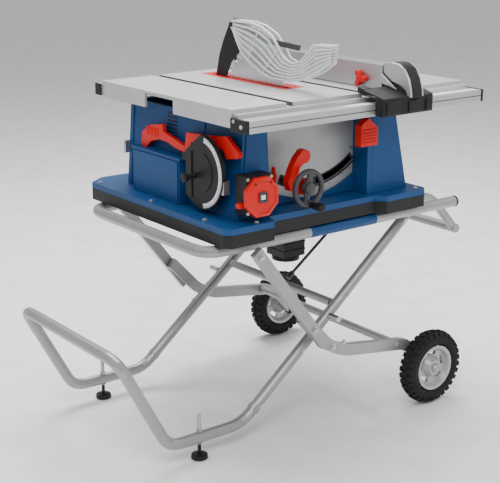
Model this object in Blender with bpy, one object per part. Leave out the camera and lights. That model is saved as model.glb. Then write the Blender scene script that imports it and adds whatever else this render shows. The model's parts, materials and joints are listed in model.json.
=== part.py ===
"""Portable table saw on a folding two-wheeled stand.

Metres, +Z up.  X runs to the operator's right, Y away from the operator and
Z up from the floor.  Coordinates below are measured from the table's front
left corner at floor level, and ORIGIN moves the finished model so that it is
centred over the world origin.
"""
import math

import bmesh
import bpy
from mathutils import Vector

# Driving dimensions
TABLE_WIDTH = 0.600
TABLE_DEPTH = 0.556
TABLE_HEIGHT = 0.843
TABLE_SKIRT = 0.041
TABLE_PLATE = 0.012
EXTENSION_WIDTH = 0.135
MITER_SLOT_WIDTH = 0.019
MITER_SLOT_DEPTH = 0.0095
MITER_SLOTS_X = (0.166, 0.398)
BLADE_X = 0.300
BLADE_Y = 0.300
BLADE_RADIUS = 0.127
BLADE_RISE = 0.079
THROAT_Y = (0.155, 0.515)
THROAT_LEFT = 0.024
THROAT_RIGHT = 0.045
SLOT_X = (0.2945, 0.3075)
PLATE_FACE_Y = 0.090
SHAFT_X = 0.225
SHAFT_Z = 0.634
MID_Y = 0.278
TUBE_RADIUS = 0.0142
FRAME_Z = 0.517
FRAME_HALF = 0.255
LEG_HALF = 0.225
ARM_HALF = 0.2833
FLAT_HALF = 0.3010
WHEEL_HALF = 0.3200
WHEEL_RADIUS = 0.100
WHEEL_X = 0.620
FOLD_PIVOT = (0.062, 0.500)
CROSS_PIVOT = (0.335, 0.280)
ROLL_END = (0.608, 0.500)
GAP = 0.0005
ORIGIN = Vector((0.2791, 0.2595, 0.0))
AXES = {"X": (1, 2, 0), "Y": (0, 2, 1), "Z": (0, 1, 2)}


# Materials ----------------------------------------------------------------

def material(name, colour, roughness, metallic=0.0):
    """A Principled material with one colour and finish."""
    made = bpy.data.materials.new(name)
    made.use_nodes = True
    shader = made.node_tree.nodes["Principled BSDF"]
    shader.inputs["Base Color"].default_value = (*colour, 1.0)
    shader.inputs["Roughness"].default_value = roughness
    shader.inputs["Metallic"].default_value = metallic
    return made


def make_materials():
    """Every finish of the machine, by name."""
    return {
        "table": material("cast_table", (0.62, 0.63, 0.64), 0.35, 0.9),
        "blue": material("blue_enamel", (0.009, 0.087, 0.238), 0.42),
        "black": material("black_plastic", (0.025, 0.025, 0.027), 0.5),
        "grey": material("grey_plastic", (0.09, 0.09, 0.095), 0.5),
        "red": material("red_plastic", (0.75, 0.02, 0.008), 0.4),
        "steel": material("bright_steel", (0.6, 0.6, 0.61), 0.3, 1.0),
        "stand": material("stand_paint", (0.38, 0.38, 0.38), 0.38, 0.6),
        "panel": material("silver_panel", (0.48, 0.48, 0.49), 0.4, 0.8),
        "tyre": material("tyre_rubber", (0.018, 0.018, 0.018), 0.85),
        "clear": material("clear_plastic", (0.8, 0.82, 0.83), 0.1),
    }


# Mesh builders ------------------------------------------------------------

def point(axis, across, up, along):
    """A 3-D point from two coordinates of a profile and one along an axis."""
    first, second, third = AXES[axis]
    values = [0.0, 0.0, 0.0]
    values[first] = across
    values[second] = up
    values[third] = along
    return Vector(values)


def loft(rings, closed=False):
    """Skin a list of point rings; end rings are capped unless closed."""
    bm = bmesh.new()
    made = [[bm.verts.new(p) for p in ring] for ring in rings]
    count = len(rings[0])
    pairs = list(zip(made, made[1:]))
    if closed:
        pairs.append((made[-1], made[0]))
    for low, high in pairs:
        for i in range(count):
            j = (i + 1) % count
            bm.faces.new((low[i], low[j], high[j], high[i]))
    if not closed:
        bm.faces.new(made[0])
        bm.faces.new(made[-1])
    bmesh.ops.recalc_face_normals(bm, faces=bm.faces)
    return bm


def prism(axis, outline, low, high):
    """Extrude an outline of (across, up) pairs between two stations."""
    rings = [[point(axis, a, u, station) for a, u in outline] for station in (low, high)]
    return loft(rings)


def block(x0, x1, y0, y1, z0, z1):
    """A rectangular solid."""
    return prism("Z", [(x0, y0), (x1, y0), (x1, y1), (x0, y1)], z0, z1)


def circle(across, up, radius, sides=20, start=0.0):
    """Outline of a regular polygon."""
    steps = [start + 2 * math.pi * i / sides for i in range(sides)]
    return [(across + radius * math.cos(t), up + radius * math.sin(t)) for t in steps]


def turned(axis, across, up, profile, sides=20, closed=False):
    """Turn (station, radius) pairs about an axis; closed makes a ring."""
    rings = []
    for station, radius in profile:
        rings.append([point(axis, a, u, station) for a, u in circle(across, up, radius, sides)])
    return loft(rings, closed)


def arc(across, up, radius, first, last, steps):
    """Points on an arc between two angles in degrees."""
    angles = [math.radians(first + (last - first) * i / steps) for i in range(steps + 1)]
    return [(across + radius * math.cos(t), up + radius * math.sin(t)) for t in angles]


def rounded(path, radius, steps=4):
    """Replace the inner corners of a 3-D path by quadratic bends."""
    path = [Vector(p) for p in path]
    smooth = [path[0]]
    for before, corner, after in zip(path, path[1:], path[2:]):
        start = corner + (before - corner).normalized() * radius
        end = corner + (after - corner).normalized() * radius
        for i in range(steps + 1):
            t = i / steps
            smooth.append(start * (1 - t) ** 2 + corner * 2 * t * (1 - t) + end * t * t)
    smooth.append(path[-1])
    return smooth


def sweep(path, normal, section):
    """Sweep (out of plane, in plane) section points along a flat path."""
    path = [Vector(p) for p in path]
    normal = Vector(normal).normalized()
    rings = []
    for i, here in enumerate(path):
        before = (here - path[i - 1]).normalized() if i else None
        after = (path[i + 1] - here).normalized() if i + 1 < len(path) else None
        tangent = ((before or after) + (after or before)).normalized()
        side = tangent.cross(normal).normalized()
        stretch = 1.0 / max(0.5, tangent.dot(after or before))
        rings.append([here + normal * out + side * across * stretch for out, across in section])
    return loft(rings)


def rectangle(width, height):
    """Section of a flat tube: width out of plane, height in plane."""
    w, h = width / 2, height / 2
    return [(-w, -h), (w, -h), (w, h), (-w, h)]


# Objects ------------------------------------------------------------------

class Assembly:
    """Makes bodies (empties on joint axes) and the pieces that ride on them."""

    def __init__(self, finishes):
        self.finishes = finishes
        self.bodies = {}

    def body(self, name, pivot, parent=None):
        """An empty on a joint axis."""
        empty = bpy.data.objects.new(f"{name}_axis", None)
        bpy.context.collection.objects.link(empty)
        place = Vector(pivot) - ORIGIN
        if parent:
            empty.parent = self.bodies[parent][0]
            empty.location = place - self.bodies[parent][1]
        else:
            empty.location = place
        self.bodies[name] = (empty, place)

    def piece(self, name, bm, finish, body="frame", cuts=(), adds=()):
        """A node made from a mesh, with solids cut from it or joined to it."""
        empty, place = self.bodies[body]
        part = self.solid(name, bm, empty, place)
        part.data.materials.append(self.finishes[finish])
        for operation, tools in (("UNION", adds), ("DIFFERENCE", cuts)):
            for number, tool_mesh in enumerate(tools):
                tool = self.solid(f"{name}_{operation.lower()}_{number}", tool_mesh, empty, place)
                tool.hide_render = True
                tool.display_type = "WIRE"
                modifier = part.modifiers.new(tool.name, "BOOLEAN")
                modifier.operation = operation
                modifier.object = tool
        return part

    def solid(self, name, bm, empty, place):
        """Mesh object whose origin is its body's joint axis."""
        bmesh.ops.translate(bm, verts=bm.verts, vec=-ORIGIN - place)
        mesh = bpy.data.meshes.new(name)
        bm.to_mesh(mesh)
        bm.free()
        mesh.shade_smooth()
        mesh.set_sharp_from_angle(angle=math.radians(35))
        made = bpy.data.objects.new(name, mesh)
        bpy.context.collection.objects.link(made)
        made.parent = empty
        return made


# Table, rails and extension ------------------------------------------------

def make_table(saw):
    """Cast top with skirts, two miter slots and the throat opening."""
    top = TABLE_HEIGHT
    bottom = top - TABLE_SKIRT
    under = top - TABLE_PLATE
    cuts = [block(0.006, TABLE_WIDTH + 0.01, 0.006, TABLE_DEPTH - 0.006, bottom - 0.01, under)]
    for x in MITER_SLOTS_X:
        half = MITER_SLOT_WIDTH / 2
        cuts.append(block(x - half, x + half, -0.01, TABLE_DEPTH + 0.01, top - MITER_SLOT_DEPTH, top + 0.01))
    low, high = THROAT_Y
    left, right = BLADE_X - THROAT_LEFT, BLADE_X + THROAT_RIGHT
    cuts.append(block(left, right, low, high, top - 0.0045, top + 0.01))
    cuts.append(block(left + 0.004, right - 0.004, low + 0.006, high - 0.006, under - 0.01, top - 0.002))
    cuts.append(block(-0.01, 0.01, 0.231, 0.353, bottom - 0.01, top - 0.006))
    saw.piece("main_table", block(0, TABLE_WIDTH, 0, TABLE_DEPTH, bottom, top), "table", cuts=cuts)
    plate = block(left + GAP, right - GAP, low + GAP, high - GAP, top - 0.0040, top)
    slot = block(SLOT_X[0], SLOT_X[1], low + 0.008, high - 0.030, top - 0.02, top + 0.02)
    saw.piece("throat_plate", plate, "red", cuts=[slot])


def make_rails(saw):
    """Front and rear fence rails."""
    outline = [(-0.060, 0.797), (-0.020, 0.797), (-0.020, 0.812), (-GAP, 0.812)]
    outline += [(-GAP, 0.834), (-0.020, 0.834), (-0.020, 0.825), (-0.060, 0.825)]
    saw.piece("front_rail", prism("X", outline, 0.004, 0.742), "table")
    back = TABLE_DEPTH + GAP
    saw.piece("rear_rail", block(-0.001, 0.742, back, back + 0.026, 0.806, 0.834), "table")


def make_extension(saw):
    """Sliding extension on two bars below the table."""
    top, bottom = TABLE_HEIGHT, TABLE_HEIGHT - TABLE_SKIRT
    left = TABLE_WIDTH + 0.001
    right = left + EXTENSION_WIDTH
    saw.body("extension", (left, MID_Y, top))
    hollow = block(left - 0.01, right - 0.006, 0.006, TABLE_DEPTH - 0.006, bottom - 0.01, top - TABLE_PLATE)
    saw.piece("extension_table", block(left, right, 0, TABLE_DEPTH, bottom, top), "table", "extension",
            [hollow])
    for name, y in (("front", 0.040), ("rear", 0.500)):
        bar = block(0.400, right - 0.0065, y, y + 0.024, 0.812, 0.830)
        saw.piece(f"extension_bar_{name}", bar, "steel", "extension")
    saw.body("extension_lock", (0.405, 0.018, 0.768))
    lock = prism("Y", [(0.397, 0.762), (0.421, 0.778), (0.452, 0.751), (0.452, 0.709), (0.397, 0.709)],
            0.007, 0.029)
    saw.piece("extension_lock_lever", lock, "red", "extension_lock")


# Rip fence ------------------------------------------------------------------

def make_fence(saw):
    """Fence beam with its clamping head, cam lever and face nut."""
    saw.body("fence", (0.4775, 0.0, 0.85))
    beam = prism("Y", [(0.455, 0.8445), (0.500, 0.8445), (0.500, 0.904), (0.455, 0.904)], 0.002, 0.590)
    saw.piece("fence_beam", beam, "table", "fence")
    outline = [(-0.090, 0.798), (-0.0625, 0.798), (-0.0625, 0.836), (0.0015, 0.8445), (0.0015, 0.862),
            (-0.070, 0.846)]
    outline += [(-0.090, 0.840)]
    saw.piece("fence_head", prism("X", outline, 0.372, 0.540), "black", "fence")
    saw.body("fence_cam", (0.4775, -0.002, 0.907), "fence")
    lever = [(-0.001, 0.886), (-0.001, 0.909), (-0.030, 0.914), (-0.076, 0.911), (-0.098, 0.880),
            (-0.109, 0.839)]
    lever += [(-0.100, 0.832), (-0.088, 0.862), (-0.066, 0.893), (-0.030, 0.892)]
    saw.piece("fence_lever", prism("X", lever, 0.458, 0.497), "black", "fence_cam")
    saw.body("wing_nut", (0.45, 0.07, 0.866), "fence")
    wings = []
    for i in range(18):
        radius = 0.015 + 0.007 * math.cos(i * math.pi / 3)
        angle = i * math.pi / 9
        wings.append((0.07 + radius * math.cos(angle), 0.866 + radius * math.sin(angle)))
    saw.piece("fence_wing_nut", prism("X", wings, 0.438, 0.4545), "red", "wing_nut")


# Housing ---------------------------------------------------------------------

def make_housing(saw):
    """Enamelled walls, the bevel panel and the base."""
    left = prism("Y", [(0.035, 0.5805), (0.060, 0.5805), (0.064, 0.800), (0.052, 0.800)], 0.050, 0.500)
    column = prism("Y", [(0.036, 0.5805), (0.132, 0.5805), (0.127, 0.667), (0.119, 0.800),
            (0.052, 0.800)], 0.025, 0.085)
    box = block(0.012, 0.050, 0.227, 0.434, 0.5805, 0.690)
    saw.piece("housing_left", left, "blue", adds=[column, box])
    right = prism("Y", [(0.556, 0.5805), (0.578, 0.5805), (0.527, 0.800), (0.505, 0.800)], 0.060, 0.500)
    column = prism("Y", [(0.441, 0.5805), (0.578, 0.5805), (0.527, 0.800), (0.441, 0.800)], 0.030, 0.085)
    ear = block(0.412, 0.445, 0.030, 0.040, 0.715, 0.7995)
    pocket = block(0.545, 0.604, 0.100, 0.200, 0.5805, 0.690)
    saw.piece("housing_right", right, "blue", adds=[column, pocket, ear])
    rear = [(0.0645, 0.5805), (0.5545, 0.5805), (0.504, 0.7995), (0.0645, 0.7995)]
    saw.piece("housing_rear", prism("Y", rear, 0.480, 0.500), "blue")
    outline = [(0.130, 0.5805), (0.468, 0.5805), (0.468, 0.600), (0.470, 0.640), (0.470, 0.800),
            (0.130, 0.800)]
    slot = arc(BLADE_X, TABLE_HEIGHT, 0.2315, 245, 308, 12) + arc(BLADE_X, TABLE_HEIGHT, 0.2125, 308,
            245, 12)
    panel = prism("Y", outline, PLATE_FACE_Y - 0.0045, PLATE_FACE_Y)
    saw.piece("bevel_panel", panel, "panel", cuts=[prism("Y", slot, 0.07, 0.12)])
    outer = [(-0.035, -0.015), (-0.020, -0.030), (0.100, -0.030), (0.115, 0.010), (0.455, 0.010),
            (0.470, -0.015)]
    outer += [(0.600, -0.015), (0.612, 0.000), (0.612, 0.590), (0.014, 0.600), (-0.035, 0.565)]
    hole = block(0.085, 0.545, 0.100, 0.470, 0.50, 0.60)
    saw.piece("base_flange", prism("Z", outer, 0.5655, 0.580), "blue", cuts=[hole])
    tray = block(0.085, 0.545, 0.100, 0.470, 0.545, 0.60)
    saw.piece("base_pan", prism("Z", outer, 0.535, 0.565), "black", cuts=[tray])
    chute = block(0.290, 0.360, 0.170, 0.240, 0.405, 0.5345)
    saw.piece("dust_chute", chute, "black", cuts=[block(0.295, 0.355, 0.175, 0.235, 0.39, 0.53)])


def make_switch(saw):
    """Paddle switch at the front left."""
    saw.piece("switch_box", block(0.028, 0.102, -0.018, 0.0245, 0.600, 0.690), "black")
    saw.body("paddle", (0.065, -0.0195, 0.6885))
    paddle = prism("Y", circle(0.065, 0.642, 0.050, 8, math.pi / 8), -0.034, -0.0185)
    saw.piece("switch_paddle", paddle, "red", "paddle", [block(0.054, 0.076, -0.05, 0.0, 0.630, 0.652)])


# Blade unit ---------------------------------------------------------------------

def make_blade_unit(saw):
    """Tilting bracket, rising carriage, motor drive, blade and guards."""
    saw.body("tilt", (BLADE_X, PLATE_FACE_Y, TABLE_HEIGHT))
    shield = [(0.195, 0.602), (0.330, 0.602), (0.330, 0.720), (0.290, 0.775), (0.195, 0.775)]
    shaft_hole = prism("Y", circle(SHAFT_X, SHAFT_Z, 0.008, 12), 0.08, 0.13)
    saw.piece("tilt_bracket", prism("Y", shield, 0.096, 0.106), "grey", "tilt", [shaft_hole])
    saw.body("carriage", (BLADE_X, BLADE_Y, 0.795), "tilt")
    case = block(0.200, 0.262, 0.255, 0.400, 0.715, 0.8275)
    arm = block(0.205, 0.262, 0.1065, 0.256, 0.745, 0.770)
    rear = block(0.240, 0.297, 0.398, 0.470, 0.745, 0.775)
    saw.piece("carriage_case", case, "panel", "carriage", [
        block(0.206, 0.256, 0.262, 0.393, 0.70, 0.8245),
        prism("X", circle(BLADE_Y, 0.795, 0.0095, 12), 0.25, 0.27),
        prism("X", circle(0.3231, 0.7642, 0.0065, 12), 0.19, 0.21),
        prism("Z", circle(SHAFT_X, 0.150, 0.0065, 12), 0.72, 0.78),
    ], [arm, rear])
    housing = turned("X", 0.3231, 0.7642, [(0.098, 0.030), (0.104, 0.043), (0.185, 0.045),
            (0.1995, 0.038)], 24)
    saw.piece("motor_housing", housing, "black", "carriage")
    saw.body("pinion", (0.2, 0.3231, 0.7642), "carriage")
    saw.piece("motor_pinion", gear(0.3231, 0.7642, 0.0085, 10, 0.212, 0.232), "steel", "pinion")
    saw.body("arbor", (BLADE_X, BLADE_Y, 0.795), "carriage")
    saw.piece("arbor_gear", gear(BLADE_Y, 0.795, 0.0273, 30, 0.213, 0.231, 0.0082), "steel", "arbor")
    profile = [(0.2075, 0.0075), (0.2985 - 0.008, 0.0075), (0.2985 - 0.008, 0.019), (0.2982, 0.019),
            (0.2982, 0.0075)]
    profile += [(0.3018, 0.0075), (0.3018, 0.017), (0.3055, 0.017), (0.3055, 0.011), (0.3150, 0.011)]
    saw.piece("arbor_shaft", turned("X", BLADE_Y, 0.795, profile, 18), "steel", "arbor")
    teeth = []
    count = 40
    for i in range(count):
        turn = 2 * math.pi * i / count
        for share, radius in ((0.0, BLADE_RADIUS), (0.28, BLADE_RADIUS - 0.001),
                (0.45, BLADE_RADIUS - 0.009)):
            angle = turn + share * 2 * math.pi / count
            teeth.append((BLADE_Y + radius * math.cos(angle), 0.795 + radius * math.sin(angle)))
    bore = prism("X", circle(BLADE_Y, 0.795, 0.008, 18), 0.28, 0.32)
    saw.piece("blade", prism("X", teeth, 0.2987, 0.3013), "steel", "arbor", [bore])
    knife = [(0.436, 0.752), (0.468, 0.752), (0.470, 0.846), (0.455, 0.900), (0.436, 0.940), (0.412, 0.980)]
    knife += [(0.392, 0.985), (0.363, 0.915), (0.380, 0.903), (0.404, 0.882), (0.424, 0.845),
            (0.436, 0.800)]
    saw.piece("riving_knife", prism("X", knife, 0.2990, 0.3010), "black", "carriage")
    barrier = [(0.130, 0.938), (0.250, 0.944), (0.385, 0.9855), (0.392, 0.9975), (0.340, 0.985),
            (0.250, 0.957), (0.127, 0.951)]
    saw.piece("guard_barrier", prism("X", barrier, 0.2968, 0.3032), "grey", "carriage")
    guard = [(0.396, 0.978), (0.380, 0.990), (0.316, 0.992), (0.270, 0.986), (0.224, 0.968), (0.195, 0.935)]
    guard += [(0.173, 0.912), (0.111, 0.912), (0.063, 0.959), (0.000, 0.961), (0.007, 0.919),
            (0.077, 0.882)]
    guard += [(0.157, 0.862), (0.221, 0.861), (0.300, 0.885), (0.345, 0.910), (0.380, 0.960)]
    for side, inner in (("left", 0.2855), ("right", 0.3055)):
        saw.body(f"guard_{side}", (BLADE_X, 0.388, 0.980), "carriage")
        saw.piece(f"guard_{side}", prism("X", guard, inner, inner + 0.009), "clear", f"guard_{side}")


def gear(across, up, pitch, teeth, low, high, bore=0.0):
    """Spur gear about X with short trapezoid teeth."""
    outline = []
    for i in range(teeth):
        for share, rise in ((-0.12, 0.0011), (0.12, 0.0011), (0.28, -0.0012), (0.72, -0.0012)):
            angle = 2 * math.pi * (i + share) / teeth
            outline.append((across + (pitch + rise) * math.cos(angle), up + (pitch + rise) * math.sin(angle)))
    solid = prism("X", outline, low, high)
    if not bore:
        return solid
    solid.free()
    rings = []
    hole = []
    for a, u in outline:
        angle = math.atan2(u - up, a - across)
        hole.append((across + bore * math.cos(angle), up + bore * math.sin(angle)))
    for profile, station in ((outline, low), (outline, high), (hole, high), (hole, low)):
        rings.append([point("X", a, u, station) for a, u in profile])
    return loft(rings, closed=True)


def make_controls(saw):
    """Height handwheel on its shaft, lead screw and bevel lock lever."""
    saw.body("handwheel", (SHAFT_X, 0.0, SHAFT_Z), "tilt")
    profile = [(-0.010, 0.006), (0.118, 0.006), (0.118, 0.010), (0.130, 0.013), (0.134, 0.013)]
    shaft = turned("Y", SHAFT_X, SHAFT_Z, profile, 14)
    disc = [(-0.008, 0.047), (0.008, 0.047)]
    windows = []
    for start in (30, 210):
        outline = arc(SHAFT_X, SHAFT_Z, 0.038, start, start + 120, 6) + arc(SHAFT_X, SHAFT_Z, 0.017,
                start + 120, start, 5)
        windows.append(prism("Y", outline, -0.02, 0.02))
    rim = turned("Y", SHAFT_X, SHAFT_Z, disc, 28)
    saw.piece("handwheel", rim, "grey", "handwheel", windows, [shaft])
    saw.body("crank", (SHAFT_X, -0.01, SHAFT_Z - 0.0385), "handwheel")
    profile = [(-0.056, 0.006), (-0.053, 0.010), (-0.030, 0.0105), (-0.012, 0.007), (-0.0085, 0.007)]
    saw.piece("crank_knob", turned("Y", SHAFT_X, SHAFT_Z - 0.0385, profile, 14), "black", "crank")
    saw.body("lead_screw", (SHAFT_X, 0.150, 0.650), "tilt")
    profile = [(0.652, 0.011), (0.662, 0.008), (0.662, 0.005), (0.790, 0.005)]
    saw.piece("lead_screw", turned("Z", SHAFT_X, 0.150, profile, 14), "steel", "lead_screw")
    saw.body("bevel_lock", (SHAFT_X, 0.030, SHAFT_Z), "tilt")
    hub_hole = prism("Y", circle(SHAFT_X, SHAFT_Z, 0.0085, 12), 0.0, 0.1)
    lever = arc(SHAFT_X, SHAFT_Z, 0.020, 60, -150, 10) + [(0.186, 0.628), (0.178, 0.650),
            (0.190, 0.680), (0.204, 0.705)]
    lever += arc(0.229, 0.706, 0.017, 150, -100, 10) + [(0.214, 0.682), (0.208, 0.662)]
    saw.piece("bevel_lock_lever", prism("Y", lever, 0.018, 0.038), "red", "bevel_lock", [hub_hole])


# Accessories on the left side -----------------------------------------------------

def make_accessories(saw):
    """Stored miter gauge and push stick."""
    saw.body("miter_gauge", (0.0, 0.166, 0.68))
    face = [(0.126, 0.768), (0.186, 0.724), (0.189, 0.616), (0.136, 0.592)] + arc(0.128, 0.680, 0.089,
            262, 100, 10)
    bar = block(0.0135, 0.0235, 0.060, 0.215, 0.693, 0.712)
    saw.piece("miter_gauge_head", prism("X", face, 0.004, 0.014), "black", "miter_gauge", adds=[bar])
    saw.body("miter_knob", (0.0, 0.147, 0.668), "miter_gauge")
    knob = [(-0.034, 0.008), (-0.031, 0.012), (-0.022, 0.0115), (-0.018, 0.0065), (0.0035, 0.0065)]
    saw.piece("miter_gauge_knob", turned("X", 0.147, 0.668, knob, 14), "black", "miter_knob")
    saw.body("push_stick", (0.022, 0.2, 0.73))
    stick = [(0.416, 0.695), (0.410, 0.731), (0.367, 0.754), (0.318, 0.762), (0.316, 0.744),
            (0.262, 0.732), (0.222, 0.722)]
    stick += [(0.216, 0.757), (0.124, 0.763), (0.054, 0.772), (0.005, 0.738), (0.012, 0.728),
            (0.055, 0.720), (0.066, 0.738)]
    stick += [(0.124, 0.745), (0.195, 0.738), (0.205, 0.706), (0.262, 0.712), (0.300, 0.722),
            (0.335, 0.722), (0.372, 0.712)]
    stick += [(0.396, 0.692)]
    saw.piece("push_stick", prism("X", stick, 0.026, 0.036), "red", "push_stick")


# Folding stand ----------------------------------------------------------------------

def along(start, end, share):
    """A point between two (x, z) points, by share of the way."""
    return (start[0] + (end[0] - start[0]) * share, start[1] + (end[1] - start[1]) * share)


def make_top_frame(saw):
    """U-shaped carrying tube with two cross bars and the bumper loop."""
    circle_section = circle(0, 0, TUBE_RADIUS, 12)
    low, high = MID_Y - FRAME_HALF, MID_Y + FRAME_HALF
    path = [(0.752, low, FRAME_Z), (-0.058, low, FRAME_Z), (-0.058, high, FRAME_Z), (0.752, high, FRAME_Z)]
    saw.piece("top_frame_tube", sweep(rounded(path, 0.055), (0, 0, 1), circle_section), "stand")
    reach = FRAME_HALF - TUBE_RADIUS - GAP
    for name, x in (("left", 0.130), ("right", 0.560)):
        bar = block(x - 0.0125, x + 0.0125, MID_Y - reach, MID_Y + reach, 0.5105, 0.5335)
        saw.piece(f"cross_bar_{name}", bar, "stand")
    half = 0.180
    path = [(0.630, MID_Y - half, 0.519), (0.738, MID_Y - half, 0.521), (0.838, MID_Y - half, 0.412)]
    path += [(p[0], MID_Y + half, p[2]) for p in reversed(path)]
    near = sweep(rounded(path[:3], 0.04), (0, 1, 0), circle(0, 0, 0.0120, 10))
    far = sweep(rounded(path[3:], 0.04), (0, 1, 0), circle(0, 0, 0.0120, 10))
    bar = turned("Y", 0.8370, 0.4130, [(MID_Y - half - 0.0125, 0.0128),
            (MID_Y + half + 0.0125, 0.0128)], 12)
    saw.piece("bumper_loop", bar, "stand", adds=[near, far])


def make_wheel_legs(saw):
    """Flat legs, wheel arms, their cross tubes and the wheels."""
    px, pz = FOLD_PIVOT
    saw.body("wheel_leg", (px, MID_Y, pz))
    bend = (0.240, 0.268)
    for name, sign in (("front", -1), ("rear", 1)):
        flat_y = MID_Y + sign * FLAT_HALF
        path = [along(FOLD_PIVOT, bend, -0.06), along(FOLD_PIVOT, bend, 1.12)]
        flat = sweep([(x, flat_y, z) for x, z in path], (0, 1, 0), rectangle(0.0160, 0.028))
        saw.piece(f"flat_leg_{name}", flat, "stand", "wheel_leg")
        arm_y = MID_Y + sign * ARM_HALF
        route = [(0.205, 0.315), (0.290, 0.225), (0.345, 0.200), (0.556, 0.168), (0.600, 0.130),
                (0.632, 0.092)]
        bent = rounded([(x, arm_y, z) for x, z in route], 0.02, 2)
        inner = arm_y
        outer = MID_Y + sign * (WHEEL_HALF + 0.030)
        axle = turned("Y", WHEEL_X, WHEEL_RADIUS, [(min(inner, outer), 0.008),
                (max(inner, outer), 0.008)], 14)
        arm = sweep(bent, (0, 1, 0), rectangle(0.0172, 0.030))
        saw.piece(f"wheel_arm_{name}", arm, "stand", "wheel_leg", adds=[axle])
    reach = ARM_HALF - 0.0086 - GAP
    tube = turned("Y", 0.520, 0.176, [(MID_Y - reach, 0.0105), (MID_Y + reach, 0.0105)], 12)
    saw.piece("arm_cross_tube", tube, "stand", "wheel_leg")
    for name, sign in (("front", -1), ("rear", 1)):
        saw.body(f"wheel_{name}", (WHEEL_X, MID_Y + sign * WHEEL_HALF, WHEEL_RADIUS), "wheel_leg")
        middle = MID_Y + sign * WHEEL_HALF
        half = 0.025
        loop = [(middle - half + 0.004, 0.058), (middle - half, 0.064), (middle - half + 0.002, 0.088),
                (middle - 0.014, 0.0985)]
        loop += [(middle - 0.005, WHEEL_RADIUS), (middle + 0.005, WHEEL_RADIUS)]
        loop += [(middle + 0.014, 0.0985), (middle + half - 0.002, 0.088), (middle + half, 0.064),
                (middle + half - 0.004, 0.058)]
        tyre = turned("Y", WHEEL_X, WHEEL_RADIUS, loop, 32, closed=True)
        saw.piece(f"tyre_{name}", tyre, "tyre", f"wheel_{name}")
        rim = [(middle - 0.018, 0.010), (middle - 0.018, 0.022), (middle - 0.008, 0.026),
                (middle - 0.008, 0.050)]
        rim += [(middle - 0.020, 0.0573), (middle + 0.020, 0.0573), (middle + 0.008, 0.050),
                (middle + 0.008, 0.026)]
        rim += [(middle + 0.018, 0.022), (middle + 0.018, 0.010)]
        saw.piece(f"rim_{name}", turned("Y", WHEEL_X, WHEEL_RADIUS, rim, 24, closed=True), "panel",
                f"wheel_{name}")


def make_handle_legs(saw):
    """Handle legs that cross the wheel legs, the U handle and its feet."""
    saw.body("handle_leg", (CROSS_PIVOT[0], MID_Y, CROSS_PIVOT[1]), "wheel_leg")
    joint = along(CROSS_PIVOT, (0.094, 0.078), 1.0)
    for name, sign in (("front", -1), ("rear", 1)):
        y = MID_Y + sign * LEG_HALF
        path = [ROLL_END, joint]
        leg = sweep([(x, y, z) for x, z in path], (0, 1, 0), circle(0, 0, 0.0138, 12))
        saw.piece(f"handle_leg_{name}", leg, "stand", "handle_leg")
        foot_y = MID_Y + sign * LEG_HALF
        saw.body(f"foot_{name}", (-0.060, foot_y, 0.0), "handle_leg")
        profile = [(0.0, 0.019), (0.003, 0.021), (0.011, 0.020), (0.014, 0.010), (0.014, 0.0045),
                (0.0385, 0.0045)]
        foot = turned("Z", -0.060, foot_y, profile, 16)
        saw.piece(f"levelling_foot_{name}", foot, "black", f"foot_{name}")
    low, high = MID_Y - LEG_HALF, MID_Y + LEG_HALF
    section = circle(0, 0, TUBE_RADIUS, 12)
    for name, y in (("front", low), ("rear", high)):
        side = [(0.0936, y, 0.0777), (0.066, y, 0.0545), (-0.1485, y, 0.0545), (-0.256, y, 0.257)]
        saw.piece(f"handle_side_{name}", sweep(rounded(side, 0.035), (0, 1, 0), section), "stand",
                "handle_leg")
    lean = Vector((-0.1075, 0, 0.2025)).normalized()
    start = Vector((-0.256, low, 0.257)) + lean * GAP
    top = start + lean * 0.045
    path = [start, top, (top.x, high, top.z), (start.x, high, start.z)]
    normal = lean.cross(Vector((0, 1, 0)))
    saw.piece("handle_grip", sweep(rounded(path, 0.04), normal, section), "stand", "handle_leg")
    reach = LEG_HALF - 0.0138 - GAP
    middle = along(CROSS_PIVOT, ROLL_END, 0.10)
    tube = turned("Y", middle[0], middle[1], [(MID_Y - reach, 0.0105), (MID_Y + reach, 0.0105)], 12)
    saw.piece("leg_cross_tube", tube, "stand", "handle_leg")


def main():
    """Build the whole machine."""
    for old in list(bpy.data.objects):
        bpy.data.objects.remove(old, do_unlink=True)
    saw = Assembly(make_materials())
    saw.body("frame", (0, 0, 0))
    make_table(saw)
    make_rails(saw)
    make_extension(saw)
    make_fence(saw)
    make_housing(saw)
    make_switch(saw)
    make_blade_unit(saw)
    make_controls(saw)
    make_accessories(saw)
    make_top_frame(saw)
    make_wheel_legs(saw)
    make_handle_legs(saw)


main()
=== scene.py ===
"""Looks of the table saw: camera, light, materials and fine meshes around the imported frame.

Lengths are in metres.  at() takes a place measured from the table's front left
corner at floor level and gives it in the frame's own coordinates.
"""
import json
import math

import bmesh
import bpy
from mathutils import Matrix, Vector


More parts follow.
